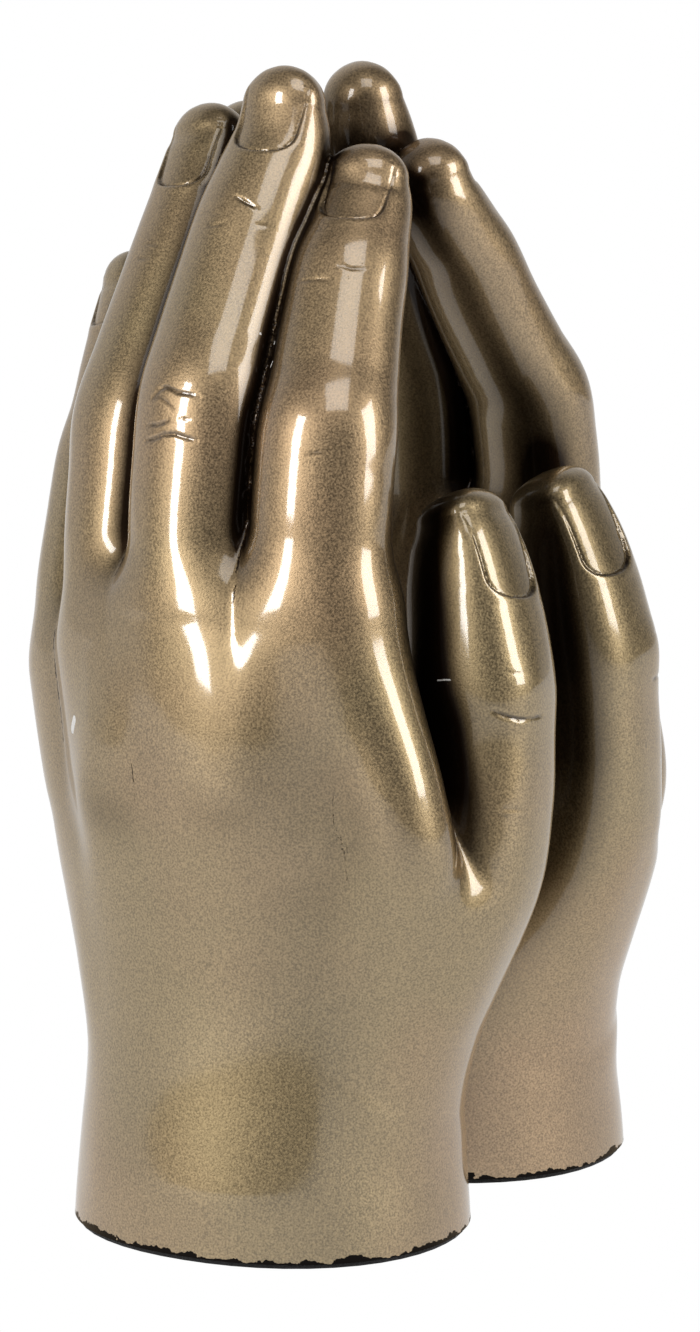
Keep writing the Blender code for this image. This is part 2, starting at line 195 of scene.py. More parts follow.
# The bones, pads and muscles under the skin of the palm and the back of the hand
PALM = {
    "index_bone": (10.0, 8.0, [
        (37.0, -9.0, 45.0, 14.0, 18.0, 16.0),
        (40.0, -11.0, 70.0, 13.0, 15.4, 15.0),
        (42.5, -14.0, 95.0, 12.0, 14.4, 13.0),
        (44.0, -16.3, 120.0, 12.0, 7.6, 12.0),
    ]),
    "middle_bone": (2.0, 8.0, [
        (37.0, 1.0, 40.0, 15.0, 20.0, 17.0),
        (41.0, 3.0, 66.0, 13.0, 16.8, 16.0),
        (44.5, 4.8, 92.0, 12.0, 17.0, 14.0),
        (46.0, 6.3, 118.0, 12.0, 9.2, 13.0),
    ]),
    "ring_bone": (-6.0, 8.0, [
        (36.0, 8.0, 40.0, 14.0, 18.5, 16.0),
        (39.0, 14.5, 62.0, 12.5, 15.6, 15.0),
        (41.0, 21.0, 88.0, 12.0, 15.0, 13.5),
        (41.0, 26.3, 110.0, 11.5, 8.8, 12.5),
    ]),
    "little_bone": (-15.0, 8.0, [
        (34.5, 15.0, 38.0, 13.0, 15.0, 15.0),
        (35.5, 26.2, 58.0, 12.0, 13.0, 14.0),
        (34.5, 35.8, 82.0, 11.0, 10.6, 12.5),
        (32.5, 40.5, 102.0, 10.0, 7.8, 11.0),
    ]),
    "web_muscle": (30.0, 8.0, [
        (38.0, -24.0, 54.0, 9.0, 9.0, 10.0),
        (43.2, -34.4, 70.0, 9.0, 9.0, 10.0),
        (45.2, -33.6, 86.0, 8.5, 8.5, 9.0),
        (44.0, -28.0, 102.0, 8.0, 8.0, 9.0),
        (44.0, -23.0, 114.0, 7.0, 7.0, 8.0),
    ]),
    "index_web": (6.0, 5.0, [
        (46.0, -5.0, 88.0, 6.5, 12.0, 9.0),
        (46.5, -5.0, 100.0, 5.8, 10.4, 8.0),
        (46.5, -5.0, 109.0, 5.0, 9.0, 8.0),
        (46.0, -5.0, 116.0, 4.4, 7.4, 7.0),
    ]),
    "ring_web": (-4.0, 5.0, [
        (44.0, 18.0, 86.0, 7.0, 13.0, 8.0),
        (44.5, 18.0, 98.0, 7.0, 11.2, 8.0),
        (44.5, 18.5, 108.0, 6.5, 9.6, 8.0),
        (43.5, 19.0, 116.0, 6.0, 8.8, 7.0),
    ]),
    "heel_pad": (0.0, 8.0, [
        (24.0, 18.0, 40.0, 10.0, 10.0, 10.0),
        (22.0, 26.2, 62.0, 10.0, 10.0, 10.0),
        (24.0, 31.2, 84.0, 8.0, 8.0, 8.0),
    ]),
}

# Soft swellings and hollows: (place out, along Y, height), (reach out, along Y, up), rise
RELIEF = [
    ((58.0, -4.0, 103.0), (14.0, 26.0, 16.0), 1.1),
    ((26.0, -51.0, 105.5), (6.0, 5.0, 5.0), 0.5),
]

# How deep and wide the creases are, as a part of the sizes in their list
CREASE_DEPTH = 0.62
CREASE_WIDTH = 0.72
# A crease is shallower at its ends: the part left there, and how far in it is whole
CREASE_END = 0.35
CREASE_END_REACH = 1.6
# Points further than this from a crease's middle aren't looked at
NEAR_LINE = 14.0

# Creases carved in the skin: depth, half-width, points along the crease
CREASES = [
    (0.50, 0.55, [(51.5, 13.2, 158.4), (51.5, 11.0, 158.8), (51.9, 8.4, 158.0), (51.6, 5.8, 157.7),
                  (51.3, 4.3, 157.4)]),
    (0.30, 0.50, [(51.5, 11.8, 158.6), (51.5, 14.0, 156.5), (51.9, 12.3, 156.8), (52.5, 10.4, 156.0),
                  (52.9, 9.2, 155.0)]),
    (0.45, 0.50, [(52.4, 14.8, 151.6), (53.3, 11.9, 152.0), (53.3, 9.7, 152.8)]),
    (0.40, 0.45, [(53.1, 7.1, 153.4), (52.8, 5.3, 153.2)]),
    (0.55, 0.50, [(53.0, 14.5, 149.0), (53.6, 12.5, 149.4), (53.8, 10.5, 150.3), (53.8, 8.1, 150.6),
                  (53.7, 6.2, 150.1), (53.1, 3.8, 149.6)]),
    (0.65, 0.50, [(31.5, 8.1, 192.3), (31.8, 6.0, 191.4), (31.6, 3.4, 190.2)]),
    (0.18, 0.50, [(31.8, 15.4, 188.7), (33.3, 10.7, 189.1)]),
    (0.18, 0.50, [(33.7, 13.6, 187.0), (34.5, 11.2, 187.0), (34.4, 8.9, 187.5)]),
    (0.25, 0.45, [(32.8, 2.8, 187.3), (31.8, 1.1, 187.0)]),
    (0.22, 0.50, [(33.9, -6.1, 177.0), (34.2, -8.6, 177.7), (34.0, -13.1, 178.0)]),
    (0.30, 0.50, [(32.0, -13.9, 180.6), (31.4, -16.3, 179.9), (29.7, -18.8, 179.8)]),
    (0.25, 0.50, [(51.6, -18.3, 148.0), (50.1, -22.1, 148.5)]),
    (0.22, 0.50, [(25.5, 31.5, 182.4), (25.9, 29.6, 182.5), (26.3, 27.6, 182.1)]),
    (0.22, 0.50, [(26.7, 32.8, 179.5), (27.5, 29.7, 179.9)]),
    (0.60, 0.60, [(32.6, -46.4, 101.0), (31.5, -48.1, 100.1), (29.2, -50.0, 99.3), (23.7, -51.5, 99.2)]),
    (0.35, 0.50, [(30.6, -47.8, 108.0), (28.7, -49.3, 107.5), (26.2, -50.3, 107.8)]),
    (0.15, 0.60, [(32.4, -48.9, 83.1), (28.0, -51.3, 82.6)]),
]

# Nails: finger, distance of the nail's root from the last oval, length, half-width,
# turn about the finger in degrees, depth of the root below the skin
NAILS = {
    "index": (13.5, 14.0, 6.3, 0.0, 0.62),
    "middle": (11.2, 14.0, 6.6, 0.0, 0.62),
    "ring": (13.0, 14.5, 6.0, 0.0, 0.58),
    "little": (10.5, 11.5, 5.0, 0.0, 0.5),
    "thumb": (16.0, 17.5, 7.2, 0.0, 0.7),
}

# Both thumbs' nails face the same way, so they are turned about their thumbs by different angles
THUMB_NAIL_TURN = {"left": 18.0, "right": -20.0}

# A nail's plan, in parts of its half-width and length
NAIL_NEAR = 1.3
NAIL_ROUND_ROOT = 0.75
NAIL_SQUARENESS = 2.4
NAIL_ROOT_STRETCH = 0.85
NAIL_TAPER_FROM = 0.15
NAIL_TAPER = 0.75
# Skin is shaped on the finger's back alone: the depths below the root where that fades out
BACK_LOW = -0.9
BACK_HIGH = -0.35
# Across a nail's rim, in millimetres outwards: wall, groove and raised lip of skin
WALL_FROM = -0.45
WALL_TO = 0.10
GROOVE_DEPTH = 0.24
GROOVE_PLACE = -0.30
GROOVE_WIDTH = 0.27
LIP_RISE = 0.10
LIP_PLACE = 0.9
LIP_WIDTH = 0.9
RIM_BAND = 1.2
# Along a nail, in millimetres past its tip: where it ends, and the step down to the fingertip
END_FROM = -0.5
END_TO = 0.3
TIP_FROM = -0.2
TIP_TO = 0.6
TIP_STEP = 0.25
TIP_FADE = 1.6
TIP_SIDE_FROM = -1.0
TIP_SIDE_TO = 0.6

# Half the width of a chip's edge, where paint gives way to the white body
CHIP_SOFT = 0.12
# Chips and scratches in the left hand's paint: radius, points along the mark
CHIPS = [
    (0.95, [(53.9, 29.6, 96.2), (53.6, 30.5, 94.4)]),
    (0.28, [(56.3, 22.7, 95.4), (56.3, 22.6, 94.9)]),
    (0.10, [(57.0, 20.9, 92.4), (57.1, 20.0, 90.6)]),
    (0.20, [(63.1, -6.1, 69.3), (63.1, -6.6, 68.9)]),
    (0.18, [(65.4, 4.1, 32.6), (65.4, 3.9, 31.4), (65.3, 2.9, 29.6), (65.3, 2.1, 29.6)]),
    (0.20, [(62.1, 16.2, 24.7), (62.1, 15.9, 23.6)]),
    (0.18, [(64.9, -3.0, 24.8), (64.9, -3.0, 24.6)]),
    (0.16, [(64.3, -8.0, 28.9), (64.3, -8.0, 28.7)]),
    (0.16, [(57.9, -23.4, 22.8), (57.9, -23.4, 22.6)]),
    (0.22, [(39.4, -1.6, 168.1), (39.5, -2.0, 168.0)]),
    (0.20, [(38.5, -4.0, 166.8), (38.6, -4.1, 166.3)]),
    (0.20, [(41.3, -5.2, 163.4), (41.6, -5.0, 162.4)]),
    (0.15, [(33.4, -35.3, 105.9), (33.6, -37.9, 106.2)]),
    (0.07, [(32.7, -47.7, 91.5), (32.7, -47.7, 87.4)]),
    (0.06, [(54.2, -27.2, 94.5), (54.2, -28.0, 91.4)]),
    (0.06, [(53.9, -30.2, 94.6), (53.9, -30.6, 91.8)]),
]


def wrist_limb():
    """The wrist's oval stump, whose size and place follow the sizes above."""
    out = WRIST_SPACING / 2
    width = WRIST_BREADTH / 2
    depth = WRIST_DEPTH / 2
    return (0.0, 18.0, [
        (out, 0.0, -16.0, width, depth, depth),
        (out, 0.0, 0.0, width, depth, depth),
        (out - 0.4, 0.2, 18.0, width - 1.4, depth - 1.7, depth - 0.8),
        (out - 0.4, -0.4, 34.0, width - 3.0, depth - 3.7, depth - 2.4),
        (out + 1.0, -0.6, 50.0, width - 4.5, depth - 5.8, depth - 7.0),
        (out + 4.5, 0.0, 66.0, width - 7.0, depth - 12.0, depth - 14.0),
    ])


def unit(vectors):
    """The vectors at length 1."""
    return vectors / np.linalg.norm(vectors, axis=-1, keepdims=True)


class Limb:
    """An oval swept along a smooth spine through its rows, rounded over at both ends."""

    def __init__(self, turn, cap, rows, squareness=2.0):
        self.cap = cap
        self.power = squareness
        angle = math.radians(turn)
        self.turned = np.array([math.sin(angle), math.cos(angle), 0.0])
        rows = np.array(rows, float)
        padded = np.vstack([2 * rows[0] - rows[1], rows, 2 * rows[-1] - rows[-2]])
        a, b, c, d = (padded[k:k + len(rows) - 1] for k in range(4))
        self.curve = 0.5 * np.stack([2 * b, c - a, 2 * a - 5 * b + 4 * c - d, 3 * b - a - 3 * c + d])
        self.last = len(rows) - 1
        self.widest = rows[:, 3:].max()
        self.knots = np.linspace(0, self.last, 2 * self.last + 1)
        self.spots = self.at(self.knots)[0]

    def at(self, place):
        """The spine's middle, the oval's sizes and the spine's direction at each place along it."""
        i = np.minimum(place.astype(int), self.last - 1)
        t = (place - i)[:, None]
        k0, k1, k2, k3 = self.curve[:, i]
        value = k0 + t * (k1 + t * (k2 + t * k3))
        slope = k1[:, :3] + t * (2 * k2[:, :3] + 3 * t * k3[:, :3])
        return value[:, :3], value[:, 3:], slope

    def axes(self, slope):
        """The directions along the limb, across it and out of its back."""
        along = unit(slope)
        across = unit(self.turned - (along @ self.turned)[:, None] * along)
        return along, across, np.cross(across, along)

    def nearest(self, points, place):
        """The place along the spine nearest to each point, from a first guess."""
        for lap in range(NEAREST_LAPS):
            centre, _, slope = self.at(place)
            step = ((points - centre) * slope).sum(1) / (slope * slope).sum(1)
            place = np.clip(place + step, 0.0, self.last)
        return place

    def distance(self, points):
        """About how far each point is outside the limb, in millimetres."""
        square = (points * points).sum(1)[:, None] + (self.spots * self.spots).sum(1)
        square = square - 2 * points @ self.spots.T
        knot = square.argmin(1)
        away = np.sqrt(np.maximum(square[np.arange(len(points)), knot], 0.0)) - self.widest
        near = np.where(away < FAR_FROM_LIMB)[0]
        away[near] = self.near_distance(points[near], self.knots[knot[near]])
        return away

    def near_distance(self, points, place):
        """The same for points close to the limb, from a first guess of their place along it."""
        place = self.nearest(points, place)
        centre, size, slope = self.at(place)
        along, across, back = self.axes(slope)
        offset = points - centre
        a = (offset * across).sum(1)
        b = (offset * back).sum(1)
        last = np.where(place > 0.5 * self.last, 1.0, -1.0)
        at_end = (place <= 0.0) | (place >= self.last)
        beyond = np.where(at_end, np.maximum((offset * along).sum(1) * last, 0.0), 0.0)
        half = size[:, 0]
        deep = np.where(b > 0, size[:, 1], size[:, 2])
        n = self.power
        ra = np.abs(a) / half
        rb = np.abs(b) / deep
        oval = np.maximum((ra ** n + rb ** n) ** (1 / n), 1e-6)
        slope = oval ** (1 - n) * np.hypot(ra ** (n - 1) / half, rb ** (n - 1) / deep)
        cap = beyond / self.cap
        whole = np.hypot(oval, cap)
        steep = np.hypot(oval / whole * slope, cap / whole / self.cap)
        return (whole - 1.0) / np.maximum(steep, 1e-6)


def melt(a, b, reach):
    """The smaller of two distances, with the fold between them filled over the reach."""
    h = np.maximum(reach - np.abs(a - b), 0.0) / reach
    return np.minimum(a, b) - h * h * reach / 4


def ramp(value, low, high):
    """0 below the low value, 1 above the high one, and a smooth rise between them."""
    t = np.clip((value - low) / (high - low), 0.0, 1.0)
    return t * t * (3 - 2 * t)


class Nail:
    """A nail's own axes: across it, along it from root to tip, and out of it."""

    def __init__(self, limb, from_tip, length, half_width, turn, depth):
        self.length = length
        self.half_width = half_width
        self.depth = depth
        spine = limb.at(np.linspace(0, limb.last, NAIL_STEPS))[0]
        run = np.linalg.norm(np.diff(spine, axis=0), axis=1)
        left = run.sum() - np.concatenate([[0.0], np.cumsum(run)])
        self.root, across = self.on_back(limb, left, from_tip, turn)
        tip = self.on_back(limb, left, max(from_tip - length, 0.5), turn)[0]
        self.along = unit(tip - self.root)
        self.across = unit(across - (across @ self.along) * self.along)
        self.out = np.cross(self.across, self.along)

    def on_back(self, limb, left, from_tip, turn):
        """The point on the limb's back at a distance from its last oval, and the way across."""
        place = np.array([np.abs(left - from_tip).argmin() / (len(left) - 1) * limb.last])
        centre, size, slope = limb.at(place)
        along, across, back = limb.axes(slope)
        c, s = math.cos(math.radians(turn)), math.sin(math.radians(turn))
        deep = 1.0 / math.hypot(c / size[0, 1], s / size[0, 0])
        return (centre + (back * c + across * s) * deep)[0], (across * c - back * s)[0]

    def shape(self, points):
        """How far the nail lifts the skin, the groove's part of that, and the points at its rim."""
        near = np.linalg.norm(points - self.root - self.along * self.length / 2, axis=1)
        pick = np.where(near < self.length * NAIL_NEAR)[0]
        offset = points[pick] - self.root
        p = offset @ self.across
        q = offset @ self.along
        out = offset @ self.out
        w = self.half_width
        round_root = NAIL_ROUND_ROOT * w
        tail = np.maximum(round_root - q, 0.0) / round_root
        n = NAIL_SQUARENESS
        oval = ((np.abs(p) / w) ** n + tail ** n) ** (1 / n)
        outside = (oval - 1.0) * np.where(q < round_root, NAIL_ROOT_STRETCH * w, w)
        inside = 1.0 - ramp(outside, WALL_FROM, WALL_TO)
        before_tip = 1.0 - ramp(q, self.length + END_FROM, self.length + END_TO)
        taper = 1.0 - NAIL_TAPER * ramp(q, NAIL_TAPER_FROM * self.length, self.length)
        sunk = -self.depth * inside * taper * before_tip
        groove = -GROOVE_DEPTH * np.exp(-((outside - GROOVE_PLACE) / GROOVE_WIDTH) ** 2)
        groove = groove * taper * before_tip
        lip = LIP_RISE * np.exp(-((outside - LIP_PLACE) / LIP_WIDTH) ** 2) * taper
        past_tip = ramp(q, self.length + TIP_FROM, self.length + TIP_TO)
        tip_step = -TIP_STEP * past_tip * np.exp(-np.maximum(q - self.length, 0.0) / TIP_FADE)
        tip_step = tip_step * (1.0 - ramp(outside, TIP_SIDE_FROM, TIP_SIDE_TO))
        above = ramp(out, BACK_LOW * w, BACK_HIGH * w)
        rise = np.zeros(len(points))
        rise[pick] = (sunk + groove + lip + tip_step) * above
        carved = np.zeros(len(points))
        carved[pick] = -groove * above
        return rise, carved, pick[(np.abs(outside) < RIM_BAND) & (out > -w)]


def to_line(points, line):
    """How far each point is from the line of points."""
    line = np.array(line, float)
    gap = np.full(len(points), np.inf)
    for a, b in zip(line[:-1], line[1:]):
        step = b - a
        t = np.clip((points - a) @ step / max(step @ step, 1e-9), 0.0, 1.0)
        gap = np.minimum(gap, np.linalg.norm(points - a - t[:, None] * step, axis=1))
    return gap


def make_limbs():
    """The limbs that one hand's skin is drawn over."""
    fingers = [Limb(turn, cap, rows, FINGER_POWER) for turn, cap, rows in FINGERS.values()]
    palm = [Limb(turn, cap, rows) for turn, cap, rows in PALM.values()]
    wrist = Limb(*wrist_limb(), squareness=OVAL_POWER)
    thumb = Limb(*THUMB, squareness=THUMB_POWER)
    return fingers, palm, wrist, thumb


def smooth_skin(points, limbs):
    """The skin of the hand without nails and creases: zero on the skin, negative inside."""
    fingers, palm, wrist, thumb = limbs
    body = wrist.distance(points)
    for limb in palm:
        body = melt(body, limb.distance(points), MELT_BODY)
    spread = fingers[0].distance(points)
    for limb in fingers[1:]:
        spread = melt(spread, limb.distance(points), MELT_BETWEEN_FINGERS)
    hand = melt(body, spread, MELT_FINGER_ROOT)
    crease = ramp(points[:, 2], THUMB_ROOT_LOW, THUMB_ROOT_HIGH)
    reach = MELT_THUMB_ROOT + (MELT_THUMB_CREASE - MELT_THUMB_ROOT) * crease
    hand = melt(hand, thumb.distance(points), reach)
    for place, size, rise in RELIEF:
        away = ((points - place) / size) ** 2
        hand = hand - rise * np.exp(-away.sum(1))
    return hand


def near_line(points, line):
    """The points near the line, and how far those are from it and from its ends."""
    middle = np.mean(line, axis=0)
    pick = np.where(np.linalg.norm(points - middle, axis=1) < NEAR_LINE)[0]
    ends = np.minimum(np.linalg.norm(points[pick] - line[0], axis=1),
                      np.linalg.norm(points[pick] - line[-1], axis=1))
    return pick, to_line(points[pick], line), ends


def fine_shape(points, nails):
    """How far nails and creases lift the skin, and how deep they are carved in it."""
    rise = np.zeros(len(points))
    carved = np.zeros(len(points))
    for nail in nails:
        nail_rise, groove, _ = nail.shape(points)
        rise += nail_rise
        carved += groove
    for depth, width, line in CREASES:
        pick, gap, ends = near_line(points, line)
        fade = CREASE_END + (1.0 - CREASE_END) * ramp(ends, 0.0, CREASE_END_REACH)
        cut = CREASE_DEPTH * depth * fade * np.exp(-(gap / (CREASE_WIDTH * width)) ** 2)
        rise[pick] -= cut
        carved[pick] += cut
    return rise, carved


def painted_shade(points, normals, limbs):
    """How far the skin around each point closes it in, for the painted shade in folds: 0 in the open, 1
    in a deep fold.
    """
    shade_amount = np.zeros(len(points))
    for reach, share in SHADE_REACHES:
        spot = points + normals * reach
        gap = np.minimum(smooth_skin(spot, limbs), smooth_skin(spot * [-1.0, 1.0, 1.0], limbs))
        shade_amount += share * np.clip(1.0 - gap / reach, 0.0, 1.0)
    return shade_amount


def chipped(points):
    """1 where the paint has chipped off, 0 where it hasn't."""
    chip = np.zeros(len(points))
    for radius, line in CHIPS:
        gap = to_line(points, line)
        chip = np.maximum(chip, 1.0 - ramp(gap, radius - CHIP_SOFT, radius + CHIP_SOFT))
    return chip


def settle(points, limbs, nails, rounds, edges=None):
    """Moves the points onto the skin; with edges it also evens them out between the rounds."""
    if edges is not None:
        ends = np.concatenate([edges, edges[:, ::-1]])
        count = np.bincount(ends[:, 0], minlength=len(points))[:, None]
    for lap in range(rounds):
        gap = smooth_skin(points, limbs)
        slope = np.empty_like(points)
        for k in range(3):
            moved = points.copy()
            moved[:, k] += SLOPE_STEP
            slope[:, k] = (smooth_skin(moved, limbs) - gap) / SLOPE_STEP
        steep = np.maximum((slope * slope).sum(1), LEAST_SLOPE)
        if nails:
            gap = gap - fine_shape(points - (gap / steep)[:, None] * slope, nails)[0]
        points = points - (gap / steep)[:, None] * slope
        if edges is not None and lap < rounds - 1:
            around = np.zeros_like(points)
            for k in range(3):
                around[:, k] = np.bincount(ends[:, 0], points[ends[:, 1], k], len(points))
            pull = around / count - points
            normal = slope / np.sqrt(steep)[:, None]
            pull -= (pull * normal).sum(1)[:, None] * normal
            points = points + EVENING * pull
    return points


def add_limb(bm, limb):
    """A sphere drawn out along the limb: its middle rings follow the spine, its poles cap it."""
    ball = bmesh.ops.create_uvsphere(bm, u_segments=LIMB_SPOKES, v_segments=LIMB_RINGS,
                                     radius=1.0)["verts"]
    co = np.array([v.co for v in ball])
    rise = np.degrees(np.arcsin(np.clip(co[:, 2], -1.0, 1.0)))
    place = (np.clip(rise / CAP_LATITUDE, -1.0, 1.0) * 0.5 + 0.5) * limb.last
    over = np.maximum(np.abs(rise) - CAP_LATITUDE, 0.0) / (90.0 - CAP_LATITUDE) * np.pi / 2
    beyond = np.sin(over) * limb.cap * np.sign(rise)
    turn = np.arctan2(co[:, 1], co[:, 0])
    c, s = np.cos(turn), np.sin(turn)
    n = limb.power
    round_off = (np.abs(c) ** n + np.abs(s) ** n) ** (-1 / n) * np.cos(over)
    spot, size, slope = limb.at(place)
    along, across, back = limb.axes(slope)
    deep = np.where(s > 0, size[:, 1], size[:, 2])
    spot = spot + across * (c * round_off * size[:, 0])[:, None]
    spot = spot + back * (s * round_off * deep)[:, None] + along * beyond[:, None]
    for vert, place_mm in zip(ball, spot):
        vert.co = place_mm * MM
    faces = {face for vert in ball for face in vert.link_faces}
    bmesh.ops.recalc_face_normals(bm, faces=list(faces))


def mesh_points(mesh):
    """The mesh's points, in millimetres."""
    points = np.empty(len(mesh.vertices) * 3, np.float32)
    mesh.vertices.foreach_get("co", points)
    return points.reshape(-1, 3).astype(float) / MM


def set_points(mesh, points):
    """Moves the mesh's points to new places, in millimetres."""
    mesh.vertices.foreach_set("co", (points * MM).astype(np.float32).ravel())
    mesh.update()


def remeshed(bm, name):
    """One closed skin around all the limbs, as a mesh of small even squares."""
    mesh = bpy.data.meshes.new(name)
    bm.to_mesh(mesh)
    bm.free()
    obj = bpy.data.objects.new(name, mesh)
    bpy.context.scene.collection.objects.link(obj)
    remesh = obj.modifiers.new("skin", "REMESH")
    remesh.mode = "VOXEL"
    remesh.voxel_size = SKIN_VOXEL * MM
    graph = bpy.context.evaluated_depsgraph_get()
    whole = bpy.data.meshes.new_from_object(obj.evaluated_get(graph))
    bpy.data.objects.remove(obj)
    bpy.data.meshes.remove(mesh)
    return whole


def fine_zone(points, nails):
    """The edge length that the detail at each point needs, in millimetres."""
    want = np.full(len(points), COARSE_EDGE)
    for nail in nails:
        want[nail.shape(points)[2]] = NAIL_EDGE
    for *_, line in CREASES:
        pick, gap, _ = near_line(points, line)
        want[pick[gap < CREASE_MARGIN]] = CREASE_EDGE
    for radius, line in CHIPS:
        want[to_line(points, line) < radius + CHIP_MARGIN] = CHIP_EDGE
    return want


def refine(bm, nails):
    """Cuts the edges that are too long for the detail, or for the tight fold, that they carry."""
    bmesh.ops.triangulate(bm, faces=bm.faces[:])
    for lap in range(REFINE_LAPS):
        bm.verts.index_update()
        bm.edges.index_update()
        edges = bm.edges[:]
        ends = np.array([(e.verts[0].index, e.verts[1].index) for e in edges])
        points = np.array([v.co for v in bm.verts]) / MM
        middle = (points[ends[:, 0]] + points[ends[:, 1]]) / 2
        length = np.linalg.norm(points[ends[:, 0]] - points[ends[:, 1]], axis=1)
        want = fine_zone(middle, nails)
        for edge in edges:
            if len(edge.link_faces) == 2 and edge.calc_face_angle() > FOLD_ANGLE:
                for vert in edge.verts:
                    for near in vert.link_edges:
                        want[near.index] = min(want[near.index], FOLD_EDGE)
        long = [edges[i] for i in np.where(length > TOO_LONG * want)[0]]
        if not long:
            break
        bmesh.ops.subdivide_edges(bm, edges=long, cuts=1)
        bmesh.ops.triangulate(bm, faces=[f for f in bm.faces if len(f.verts) > 3])


def set_number(mesh, name, values):
    """Gives each point of the mesh a number that the paint can read."""
    layer = mesh.attributes.new(name, "FLOAT", "POINT")
    layer.data.foreach_set("value", values.astype(np.float32))


def evened(points):
    """The points with the back of the wrist drawn to one smooth sheet, free of small waves."""
    out, along, height = points.T
    inside = (out > SHEET_OUT) & (np.abs(along) < SHEET_REACH) & (height < SHEET_TOP)
    y = along[inside] / SHEET_REACH
    z = height[inside] / SHEET_TOP
    terms = np.stack([y ** i * z ** j for i in range(SHEET_POWERS_ALONG)
                      for j in range(SHEET_POWERS_UP)], 1)
    # One point of each cell, so that finely meshed places count no more than others
    cells = np.round(np.stack([y, z], 1) * SHEET_CELLS)
    chosen = np.unique(cells, axis=0, return_index=True)[1]
    factors = np.linalg.lstsq(terms[chosen], out[inside][chosen], rcond=None)[0]
    share = ramp(1 - np.abs(y), 0.0, SHEET_FADE) * ramp(1 - z, 0.0, SHEET_FADE)
    share *= ramp(height[inside], 0.0, SHEET_FOOT)
    points = points.copy()
    points[inside, 0] += share * (terms @ factors - out[inside])
    return points


def make_skin(limbs, nails):
    """The skin of one hand, finest at its detail, with the numbers that its paint follows: painted
    shade, groove depth and chips.
    """
    fingers, palm, wrist, thumb = limbs
    bm = bmesh.new()
    for limb in [*fingers, *palm, wrist, thumb]:
        add_limb(bm, limb)
    mesh = remeshed(bm, "skin")
    edges = np.empty(len(mesh.edges) * 2, np.int32)
    mesh.edges.foreach_get("vertices", edges)
    set_points(mesh, settle(mesh_points(mesh), limbs, None, COARSE_ROUNDS, edges.reshape(-1, 2)))

    bm = bmesh.new()
    bm.from_mesh(mesh)
    refine(bm, nails)
    bm.to_mesh(mesh)
    bm.free()
    points = evened(settle(mesh_points(mesh), limbs, nails, FINE_ROUNDS))
    points[:, 0] = np.clip(points[:, 0], HAND_GAP, HAND_REACH)
    set_points(mesh, points)
    normals = np.empty(len(points) * 3, np.float32)
    mesh.vertex_normals.foreach_get("vector", normals)
    # How far each point is closed in, which the paint turns into painted shade
    set_number(mesh, "painted_shade", painted_shade(points, normals.reshape(-1, 3), limbs))
    set_number(mesh, "carved", fine_shape(points, nails)[1])
    set_number(mesh, "chip", chipped(points))
    return mesh


def make_hand(name, side, mesh):
    """One hand of the casting, cut off above the felt. Only the left hand's paint is chipped."""
    mesh.name = name
    set_points(mesh, mesh_points(mesh) * [side, 1.0, 1.0])
    if side > 0:
        mesh.attributes["chip"].data.foreach_set("value", np.zeros(len(mesh.vertices), np.float32))
    bm = bmesh.new()
    bm.from_mesh(mesh)
    everything = bm.verts[:] + bm.edges[:] + bm.faces[:]
    cut = bmesh.ops.bisect_plane(bm, geom=everything, dist=1e-6, plane_co=(0, 0, SKIN_FLOOR * MM),
                                 plane_no=(0, 0, -1), clear_outer=True)
    rim = [e for e in cut["geom_cut"] if isinstance(e, bmesh.types.BMEdge)]
    bmesh.ops.holes_fill(bm, edges=rim)
    bmesh.ops.triangulate(bm, faces=[f for f in bm.faces if len(f.verts) > 4])
    bmesh.ops.recalc_face_normals(bm, faces=bm.faces[:])
    bm.to_mesh(mesh)
    bm.free()
    mesh.shade_smooth()
    mesh.set_sharp_from_angle(angle=SHARP_EDGE)
    hand = bpy.data.objects.new(name, mesh)
    bpy.context.scene.collection.objects.link(hand)
    return hand


